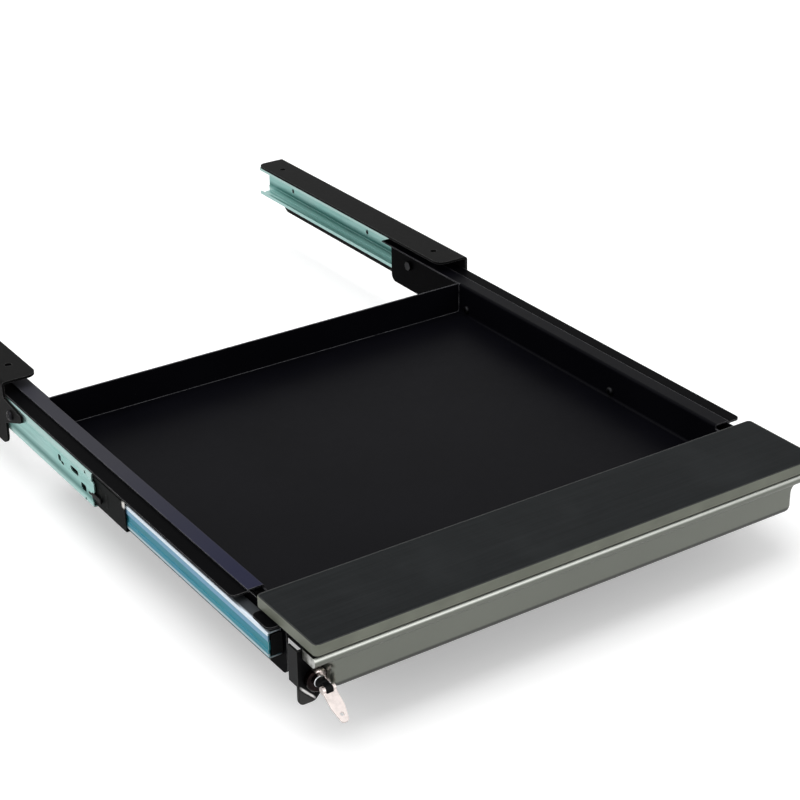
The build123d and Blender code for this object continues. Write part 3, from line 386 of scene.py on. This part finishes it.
def satin(name, tint, gleam_tint, nose_highlight_tint, foot):
    """Satin metallic paint: fine flakes on an even grey, with a painted highlight on the nose, painted
    shade along the foot and on flat tops, and painted light on the nose's left end.
    """
    finish = Finish(name)
    flake = finish.flecks(0.28 * MM)
    peel = finish.noise(0.9 * MM, 2, 0.5)
    drift = finish.noise(70 * MM, 3, 0.5, stretch=(2.5, 1, 1))
    touch = finish.noise(4 * MM, 4, 0.6, offset=(1, 8, 3))
    rub, soft = finish.edges(0.4 * MM)
    height = finish.axis("Z")
    upward = finish.facing("Z")
    # Painted highlight on the nose's rounded top.
    nose_highlight = upward.between(0.15, 0.8) * (1 - upward.between(0.90, 0.98))
    # Painted shade along the foot and on the flat top under the board.
    foot_shade = 1 - height.between(foot + FOOT_SHADE, foot + FOOT_SHADE + FOOT_SHADE_FADE)
    painted_shade = (foot_shade * 0.85).most(upward.between(0.94, 0.99) * 0.9)
    # Painted light on the nose's left end face.
    left_end = (0 - finish.facing("X")).between(0.6, 0.9)
    lit_nose_end = left_end * height.between(foot + NOSE_END - NOSE_END_FADE, foot + NOSE_END)
    skin = finish.blend(paint(*tint), toned(tint, share=1.06), drift.between(0.35, 0.65))
    skin = finish.blend(skin, paint(*gleam_tint), (1 - flake.between(0.1, 0.5)) * 0.16)
    skin = finish.blend(skin, paint(*nose_highlight_tint), nose_highlight * (0.75 + touch * 0.25))
    skin = finish.blend(skin, paint(196, 199, 192), rub * 0.3)
    skin = finish.blend(skin, paint(30, 30, 28), painted_shade)
    skin = finish.blend(skin, paint(172, 172, 168), lit_nose_end * touch.between(0.35, 0.6) * 0.9)
    return finish.set(
        Specular_IOR_Level=0.5,
        Coat_Weight=0.6,
        Coat_Roughness=0.10,
        Base_Color=skin,
        Metallic=0.75,
        Roughness=0.30 + touch.between(0.5, 0.8) * 0.05,
        Normal=finish.bump(peel, 0.02 * MM, 0.25, soft),
    )


def plated(name, tint, rough, scratch=1.0):
    """Bright plated metal with hairline scratches and handling marks."""
    finish = Finish(name)
    hair = finish.noise(0.18 * MM, 2, 0.6, stretch=(1, 12, 1))
    cross = finish.noise(0.2 * MM, 2, 0.6, stretch=(10, 1, 3), offset=(3, 5, 7))
    mark = finish.noise(4 * MM, 4, 0.6)
    rub, soft = finish.edges(0.25 * MM)
    skin = finish.blend(paint(*tint), toned(tint, share=0.8), mark.between(0.45, 0.75) * 0.6)
    return finish.set(
        Base_Color=finish.blend(skin, toned(tint, share=1.1), rub * 0.5),
        Metallic=1.0,
        Roughness=rough + mark * 0.12 + hair * 0.05,
        Normal=finish.bump(hair + cross, 0.012 * MM, 0.4 * scratch, soft),
    )


# The lock face has a painted reflection above and to the right of its middle, from START on and fully from
# FULL.
REFLECTION_START = 0.6 * MM
REFLECTION_FULL = 2.6 * MM
REFLECTION_WANDER = 2 * MM


def lock_face(name, dark, bright):
    """Chrome lock face painted dark all over and bright towards its upper right, both as painted
    reflections.
    """
    finish = Finish(name)
    mottle = finish.noise(1.6 * MM, 3, 0.6)
    hair = finish.noise(0.2 * MM, 2, 0.6, stretch=(8, 1, 1))
    rub, soft = finish.edges(0.25 * MM)
    upper_right = (finish.axis("X") - lock_x) * 1.2 + (finish.axis("Z") - lock_z) * 0.6
    painted_reflection = (upper_right + (mottle - 0.5) * REFLECTION_WANDER).between(REFLECTION_START, REFLECTION_FULL)
    # Painted reflections: dark all over, bright towards the upper right.
    skin = finish.blend(paint(*dark), toned(dark, share=1.9), mottle.between(0.45, 0.7))
    skin = finish.blend(skin, paint(*bright), painted_reflection)
    return finish.set(
        Base_Color=finish.blend(skin, paint(190, 184, 182), rub * 0.3),
        Metallic=0.95,
        Roughness=0.16 + mottle * 0.12 + hair * 0.05,
        Normal=finish.bump(hair, 0.01 * MM, 0.4, soft),
    )


# The painted highlight on the channel's wing falls to the right, and below it a patch is painted lighter
# grey as painted light. Each pair of numbers is where a fade begins and ends.
GLINT_X = -190 * MM
GLINT_Z = -42.5 * MM
GLINT_FALL = 1.05
GLINT_WANDER = 1.5 * MM
GLINT_HALF_WIDTH = (0.5 * MM, 1.3 * MM)
GLINT_HALF_LENGTH = (3 * MM, 5.5 * MM)
LIT_BELOW = (0.5 * MM, 3 * MM)
LIT_FROM = (lock_x - 12 * MM, lock_x - 10 * MM)
LIT_TO = (lock_x, lock_x + 8 * MM)


def glinted(name, tint, gleam):
    """Gloss black paint with a painted highlight streak and a patch of painted light below it."""
    finish = Finish(name)
    peel = finish.noise(0.8 * MM, 2, 0.5)
    haze = finish.noise(5 * MM, 4, 0.6)
    across = finish.axis("X")
    along = across - GLINT_X
    above = finish.axis("Z") - GLINT_Z + along * GLINT_FALL + (haze - 0.5) * GLINT_WANDER
    narrow = 1 - abs(above).between(*GLINT_HALF_WIDTH)
    short = 1 - abs(along).between(*GLINT_HALF_LENGTH)
    lit_patch = (0 - above).between(*LIT_BELOW) * across.between(*LIT_FROM)
    rub, soft = finish.edges(0.4 * MM, 0.6 * MM)
    # Painted light below the streak, then the painted highlight streak itself.
    skin = finish.blend(paint(*tint), paint(58, 58, 57), lit_patch * (1 - across.between(*LIT_TO)))
    skin = finish.blend(skin, paint(232, 230, 228), narrow * short)
    return finish.set(
        Specular_IOR_Level=gleam,
        Base_Color=finish.blend(skin, paint(96, 96, 94), rub * 0.5),
        Roughness=0.26 + haze * 0.1,
        Normal=finish.bump(peel, 0.03 * MM, 0.3, soft),
    )


def on_slide(*rows):
    """Painted highlight and painted shade bands for zinc, with heights in millimetres above the middle of
    the slide.
    """
    light_bands = []
    for low, high, fade, colour, strength in rows:
        light_bands.append((slide_axis + low * MM, slide_axis + high * MM, fade * MM, colour, strength))
    return light_bands


# Each band of painted highlight or painted shade: low, high, fade, colour and strength.
SLIDE_END = 20  # past the slide's top and bottom edges
outer_light_bands = on_slide(
    (10.0, SLIDE_END, 3.5, (176, 202, 198), 0.7),
    (-5.7, -4.9, 4.2, (42, 106, 100), 0.85),
    (-SLIDE_END, -9.6, 1.5, (168, 202, 198), 0.8),
)
middle_light_bands = on_slide(
    (7.0, SLIDE_END, 0.8, (216, 226, 235), 1.0),
    (3.2, 5.8, 0.9, (116, 156, 186), 0.9),
    (-7.2, -6.1, 0.7, (172, 190, 196), 0.95),
    (-SLIDE_END, -8.2, 0.5, (128, 128, 130), 0.9),
)
# Painted shade: inside this track the intermediate member's up-facing web is painted near black.
WEB_TRACK = slide_back - 3.8 * MM  # the inner edge of the intermediate member's dry web

# The pan's left flange is painted bluish grey as a painted reflection, most of all towards the front.
FLANGE_WIDTH = 12 * MM
FLANGE_DEPTH = 0.7 * MM
BLUE_LENGTH = 90 * MM
BLUE_FADE = 170 * MM
left_flange_sheen = {
    "X": (pan_low.x, pan_low.x + FLANGE_WIDTH, 1.5 * MM),
    "Z": (pan_high.z - FLANGE_DEPTH, pan_high.z + MM, 0.3 * MM),
}
front_flange_sheen = {**left_flange_sheen, "Y": (pan_low.y, pan_low.y + BLUE_LENGTH, BLUE_FADE)}
pan_sheen = [((50, 50, 56), left_flange_sheen), ((34, 35, 53), front_flange_sheen)]

BAND_PLASTIC = {"tint": (95, 98, 88), "rough": 0.42, "gleam": 0.25}
TRAY_POWDER = {"grain": 1.0 * MM, "reach": 0.9 * MM}
finishes = {
    "zinc_steel": zinc("zinc_steel", (140, 188, 182), (158, 194, 190), outer_light_bands),
    "cage_steel": cage_strip("cage_steel", (13, 14, 14), cage_low.y, cage_high.z),
    "bearing_steel": plated("bearing_steel", (228, 229, 230), rough=0.10, scratch=0.3),
    "black_plastic": moulded("black_plastic", (10, 10, 11), rough=0.44, gleam=0.08),
    "bracket_paint": powder("bracket_paint", (9, 9, 9), rough=0.46, gleam=0.03, grain=0.7 * MM),
    "tray_paint": powder("tray_paint", (3, 3, 4), rough=0.42, gleam=0.01, edge_wear_and_highlight=0.9, **TRAY_POWDER),
    "board_laminate": laminate("board_laminate", (19, 21, 22), (30, 32, 33)),
    "edge_plastic": moulded("edge_plastic", **BAND_PLASTIC),
    "panel_paint": satin("panel_paint", (92, 95, 87), (140, 143, 134), (214, 217, 210), panel_foot),
    "black_screw": plated("black_screw", (34, 34, 36), rough=0.34),
    "lock_black": lock_face("lock_black", (20, 14, 14), (232, 218, 212)),
    "lock_chrome": plated("lock_chrome", (214, 216, 219), rough=0.13),
    "key_nickel": plated("key_nickel", (214, 204, 200), rough=0.24),
}

# Pieces that look different from the rest of their slot.
blue_zinc = zinc("blue_zinc", (34, 126, 132), (44, 126, 152), middle_light_bands, WEB_TRACK)
pan_gloss = {"rough": 0.34, "gleam": 0.025, "edge_wear_and_highlight": 1.0, "sheen_patches": pan_sheen}
own_finish = {
    "tray_pan": powder("pan_paint", (5, 5, 8), **pan_gloss, **TRAY_POWDER),
    "board_edge_band": moulded("edge_plastic_skinned", top=(23, 25, 26), **BAND_PLASTIC),
    "front_channel": glinted("channel_paint", (6, 6, 7), gleam=0.05),
    "mid_member_left": blue_zinc,
    "mid_member_right": blue_zinc,
}
slot_of = {part["node"]: part["material_slot"] for part in record["subparts"]}
for node, slot in slot_of.items():
    mesh = nodes[node].data
    mesh.materials.clear()
    mesh.materials.append(own_finish.get(node, finishes[slot]))


def placed(name, bm):
    """Put a mesh in the scene under a name."""
    mesh = bpy.data.meshes.new(name)
    bm.to_mesh(mesh)
    bm.free()
    made = bpy.data.objects.new(name, mesh)
    bpy.context.scene.collection.objects.link(made)
    return made


SMOOTH_BELOW = math.radians(32)


def piece(name, bm, body, slot, *stood_for, finish=None):
    """Finish a mesh as a piece that rides on a body, in the finish of a slot."""
    for face in bm.faces:
        face.smooth = True
    made = placed(name, bm)
    made.data.set_sharp_from_angle(angle=SMOOTH_BELOW)
    made.data.materials.append(finish or finishes[slot])
    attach(made, body)
    if stood_for:
        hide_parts(*stood_for)
    return made


def merged(node):
    """A copy of a CAD node's mesh with its loose triangles joined up."""
    bm = bmesh.new()
    bm.from_mesh(nodes[node].data)
    bmesh.ops.remove_doubles(bm, verts=bm.verts, dist=0.001 * MM)
    return bm


def solids(node):
    """The separate solids of a CAD node, each as its lowest and highest corner."""
    bm = merged(node)
    reached = set()
    boxes = []
    for start in bm.verts:
        if start in reached:
            continue
        reached.add(start)
        island = [start]
        for vert in island:
            for edge in vert.link_edges:
                other = edge.other_vert(vert)
                if other not in reached:
                    reached.add(other)
                    island.append(other)
        low = Vector([min(vert.co[i] for vert in island) for i in range(3)])
        high = Vector([max(vert.co[i] for vert in island) for i in range(3)])
        boxes.append((low, high))
    bm.free()
    return boxes


# Balls: round ones in place of the flat-sided solids.
BALL_FLATS = 0.9  # half width of a solid ball over its radius
BALL_FACES = {"u_segments": 20, "v_segments": 12}
for row in ("outer_balls", "inner_balls"):
    for side in ("left", "right"):
        bm = bmesh.new()
        for low, high in solids(f"{row}_{side}"):
            radius = (high.x - low.x) / 2 / BALL_FLATS
            centre = Matrix.Translation((low + high) / 2)
            bmesh.ops.create_uvsphere(bm, radius=radius, matrix=centre, **BALL_FACES)
        body = row.replace("balls", "cage") + "_" + side
        piece(f"round_{row}_{side}", bm, body, "bearing_steel", f"{row}_{side}")


# Screws that show: domed heads with a cross recess.
SHANK = 2 * MM
HEAD_HEIGHT = 2.2 * MM
SPIN_STEPS = 24
RECESS_POINTS = 12
RECESS_REACH = 0.5  # of the head's radius
RECESS_NOTCH = 0.38  # what is left of that reach between the arms of the cross
RECESS_DEPTH = 0.55  # of the head's height
RECESS_TAPER = 0.7
SCREW_TURN = 0.7  # radians from one screw to the next


def screw_shell(head, length):
    """A spun screw, head upwards from z = 0 and shank below, left open at the top of its head."""
    screw = bmesh.new()
    profile = [
        (SHANK * 0.6, -length),
        (SHANK, -length + SHANK * 0.4),
        (SHANK, 0),
        (head, 0),
        (head, HEAD_HEIGHT * 0.4),
        (head * 0.93, HEAD_HEIGHT * 0.68),
        (head * 0.78, HEAD_HEIGHT * 0.88),
        (head * 0.60, HEAD_HEIGHT),
    ]
    verts = [screw.verts.new((x, 0, z)) for x, z in profile]
    lines = [screw.edges.new(pair) for pair in zip(verts, verts[1:])]
    turn = {"cent": (0, 0, 0), "axis": (0, 0, 1), "angle": math.tau, "steps": SPIN_STEPS}
    bmesh.ops.spin(screw, geom=verts + lines, use_merge=True, **turn)
    return screw


def sink_cross(screw, head):
    """Close the top of a screw's head with a cross recess."""
    rim = [edge for edge in screw.edges if edge.is_boundary and edge.verts[0].co.z > 0]
    star = bmesh.ops.create_circle(screw, segments=RECESS_POINTS, radius=head * RECESS_REACH)["verts"]
    half_step = Matrix.Rotation(math.tau / RECESS_POINTS / 2, 3, "Z")
    bmesh.ops.rotate(screw, cent=(0, 0, 0), matrix=half_step, verts=star)
    notches = [vert for vert in star if abs(abs(vert.co.x) - abs(vert.co.y)) < head * 0.01]
    bmesh.ops.scale(screw, vec=(RECESS_NOTCH, RECESS_NOTCH, 1), verts=notches)
    bmesh.ops.translate(screw, vec=(0, 0, HEAD_HEIGHT), verts=star)
    mouth = list({edge for vert in star for edge in vert.link_edges})
    bmesh.ops.bridge_loops(screw, edges=rim + mouth)
    sunk = bmesh.ops.extrude_edge_only(screw, edges=mouth)["geom"]
    bottom = [item for item in sunk if isinstance(item, bmesh.types.BMVert)]
    bmesh.ops.translate(screw, vec=(0, 0, -HEAD_HEIGHT * RECESS_DEPTH), verts=bottom)
    bmesh.ops.scale(screw, vec=(RECESS_TAPER, RECESS_TAPER, 1), verts=bottom)
    bmesh.ops.holes_fill(screw, edges=[edge for edge in screw.edges if edge.is_boundary], sides=0)


def add_screw(bm, head, length, place):
    """Add a domed screw to a mesh, moved by place."""
    screw = screw_shell(head, length)
    sink_cross(screw, head)
    bmesh.ops.recalc_face_normals(screw, faces=screw.faces)
    bmesh.ops.transform(screw, matrix=place, verts=screw.verts)
    loose = bpy.data.meshes.new("screw")
    screw.to_mesh(loose)
    screw.free()
    bm.from_mesh(loose)
    bpy.data.meshes.remove(loose)


def screw_set(name, node, body, outward):
    """Domed screws in place of a node of screws that lie along X, heads outward (1) or inward (-1)."""
    bm = bmesh.new()
    for index, (low, high) in enumerate(solids(node)):
        middle = (low + high) / 2
        facing = outward if middle.x > 0 else -outward
        top = high.x if facing > 0 else low.x
        seat = Vector((top - facing * HEAD_HEIGHT, middle.y, middle.z))
        turned = Vector((facing, 0, 0)).to_track_quat("Z", "Y").to_matrix().to_4x4()
        place = Matrix.Translation(seat) @ turned @ Matrix.Rotation(SCREW_TURN * index, 4, "Z")
        add_screw(bm, (high.z - low.z) / 2, high.x - low.x - HEAD_HEIGHT, place)
    piece(name, bm, body, "black_screw", node)


screw_set("hanger_screws", "outer_member_screws", "hanger", 1)
screw_set("pan_wall_screws", "pan_screws", "tray", -1)


# Black stops in the front ends of the inner members: a dished plate in front of a lower plug.
STOP_PLATE = 0.8 * MM
STOP_PLUG = 12 * MM
STOP_CORNER = 0.9 * MM
STOP_INSET = 0.2 * MM  # from the inner member's near side
STOP_SIDE_GAP = 2.2 * MM  # to the intermediate member's far side
STOP_HEIGHT_GAP = 3.8 * MM  # to the intermediate member's height
DISH_RIM = 1.4 * MM
DISH_DEPTH = 0.4 * MM
PLUG_RIM = 1.9 * MM
PLUG_HEIGHT = 0.58  # of the plate's height inside the rim
middle_low, middle_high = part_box("mid_member_right")
inner_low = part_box("inner_member_right")[0]
near = inner_low.x + STOP_INSET
far = middle_high.x - STOP_SIDE_GAP
tall = middle_high.z - middle_low.z - STOP_HEIGHT_GAP
for side, sign in (("left", -1), ("right", 1)):
    middle = Vector((sign * (near + far) / 2, inner_low.y - STOP_PLATE / 2, slide_axis))
    bm = bmesh.new()
    bmesh.ops.create_cube(bm, size=1)
    bmesh.ops.scale(bm, vec=(far - near, STOP_PLATE, tall), verts=bm.verts)
    bmesh.ops.translate(bm, vec=middle, verts=bm.verts)
    front = min(bm.faces, key=lambda face: face.calc_center_median().y)
    back = max(bm.faces, key=lambda face: face.calc_center_median().y)
    border = [edge for edge in bm.edges if abs(edge.verts[0].co.y - edge.verts[1].co.y) > STOP_PLATE / 2]
    bmesh.ops.inset_individual(bm, faces=[front], thickness=DISH_RIM)
    bmesh.ops.translate(bm, vec=(0, DISH_DEPTH, 0), verts=front.verts)
    bmesh.ops.inset_individual(bm, faces=[back], thickness=PLUG_RIM)
    bmesh.ops.scale(bm, vec=(1, 1, PLUG_HEIGHT), space=Matrix.Translation(-middle), verts=back.verts)
    bmesh.ops.translate(bm, vec=(0, STOP_PLUG, 0), verts=back.verts)
    rounding = {"offset": STOP_CORNER, "segments": 3, "profile": 0.5}
    bmesh.ops.bevel(bm, geom=border, affect="EDGES", material=-1, **rounding)
    bmesh.ops.recalc_face_normals(bm, faces=bm.faces)
    piece(f"slide_stop_{side}", bm, "tray", "black_plastic")


# Sharp solid edges rounded over, as the real pieces are.
FLAT_WITHIN = math.radians(1)
SHARP_ABOVE = math.radians(35)
body_of = {}
for body, members in record["behaviour"]["bodies"].items():
    for node in members:
        body_of[node] = body


def rounded_over(node, radius):
    """The node's own shape with its sharp edges rounded."""
    bm = merged(node)
    bmesh.ops.dissolve_limit(bm, angle_limit=FLAT_WITHIN, verts=bm.verts, edges=bm.edges)
    sharp = [edge for edge in bm.edges if edge.is_manifold and edge.calc_face_angle() > SHARP_ABOVE]
    rounding = {"offset": radius, "segments": 2, "profile": 0.5, "clamp_overlap": True}
    bmesh.ops.bevel(bm, geom=sharp, affect="EDGES", material=-1, **rounding)
    slot = slot_of[node]
    made = piece(f"{node}_rounded", bm, body_of[node], slot, node, finish=own_finish.get(node))
    made.modifiers.new("flat_faces", "WEIGHTED_NORMAL").keep_sharp = True


for node, radius in (
    ("board_core", 0.2 * MM),
    ("board_edge_band", 0.3 * MM),
    ("front_panel", 0.3 * MM),
    ("lock_housing", 0.25 * MM),
    ("lock_nut", 0.3 * MM),
    ("key_hub", 0.25 * MM),
    ("key_bow", 0.35 * MM),
    ("outer_bumper_left", 0.3 * MM),
    ("outer_bumper_right", 0.3 * MM),
):
    rounded_over(node, radius)


# The floor, which glows a little where the camera sees it.
FLOOR_SIZE = 14
FLOOR_DROP = 30 * MM  # below the solids
DARK = (0, 0, 0, 1)
FLOOR_GLOW = (0.3, 0.3, 0.3, 1)
floor_z = cad_box[0].z - FLOOR_DROP
bm = bmesh.new()
bmesh.ops.create_grid(bm, x_segments=1, y_segments=1, size=FLOOR_SIZE / 2)
bmesh.ops.translate(bm, vec=(0, 0, floor_z), verts=bm.verts)
floor = placed("floor", bm)
ground = Finish("floor_white")
camera_ray = ground.node("ShaderNodeLightPath").outputs["Is Camera Ray"]
ground.set(Base_Color=paint(238, 238, 238), Roughness=0.9, Specular_IOR_Level=0.1)
ground.set(Emission_Color=ground.blend(DARK, FLOOR_GLOW, camera_ray), Emission_Strength=1)
floor.data.materials.append(ground.material)


# The lamps: place, size and watts of each.
LAMP_AIM = Vector((0, -0.25, 0))
LAMPS = {
    "overhead_light": ((-0.3, -0.2, 2.0), (2.4, 2.0), 34),
    "left_light": ((-2.2, -1.0, 1.2), (1.6, 1.2), 16),
    "front_light": ((0.5, -2.4, 0.9), (1.8, 1.0), 10),
}
for name, (place, size, watts) in LAMPS.items():
    lamp = bpy.data.lights.new(name, "AREA")
    lamp.shape = "RECTANGLE"
    lamp.size, lamp.size_y = size
    lamp.energy = watts
    light = bpy.data.objects.new(name, lamp)
    light.location = place
    light.rotation_euler = (LAMP_AIM - Vector(place)).to_track_quat("-Z", "Y").to_euler()
    bpy.context.scene.collection.objects.link(light)


# The surroundings: plain white to the camera and in reflections, and dimmer as a light.
SKY_SEEN = 1.0
SKY_LIGHT = 0.55
world = bpy.data.worlds.new("studio")
bpy.context.scene.world = world
world.use_nodes = True
world.node_tree.nodes.clear()
sky = Nodes(world.node_tree)
rays = sky.node("ShaderNodeLightPath").outputs
in_sight = Amount(sky, rays["Is Camera Ray"]).most(rays["Is Glossy Ray"])
levels = {"Value": in_sight, "To Min": SKY_LIGHT, "To Max": SKY_SEEN}
strength = sky.node("ShaderNodeMapRange", None, levels).outputs[0]
glow = sky.node("ShaderNodeBackground", None, {"Color": (1, 1, 1, 1), "Strength": strength})
sky.node("ShaderNodeOutputWorld", None, {0: glow.outputs[0]})


# The camera, placed and turned so that the shelf's straight edges fall as they do in the photograph.
CAMERA_PLACE = (-0.6463, -1.3298, 0.5969)
CAMERA_RIGHT = Vector((0.8312, -0.5558, -0.0130))
CAMERA_DOWN = Vector((-0.2577, -0.3645, -0.8948))
CAMERA_AHEAD = Vector((0.4926, 0.7472, -0.4462))
turn = Matrix((CAMERA_RIGHT, -CAMERA_DOWN, -CAMERA_AHEAD)).transposed().normalized()
camera = bpy.data.objects.new("camera", bpy.data.cameras.new("camera"))
camera.data.sensor_width = 36
camera.data.lens = 87.42
camera.data.clip_start = 0.01
camera.data.clip_end = 50
camera.matrix_world = Matrix.Translation(CAMERA_PLACE) @ turn.to_4x4()
bpy.context.scene.collection.objects.link(camera)
bpy.context.scene.camera = camera
bpy.context.scene.view_settings.view_transform = "Standard"
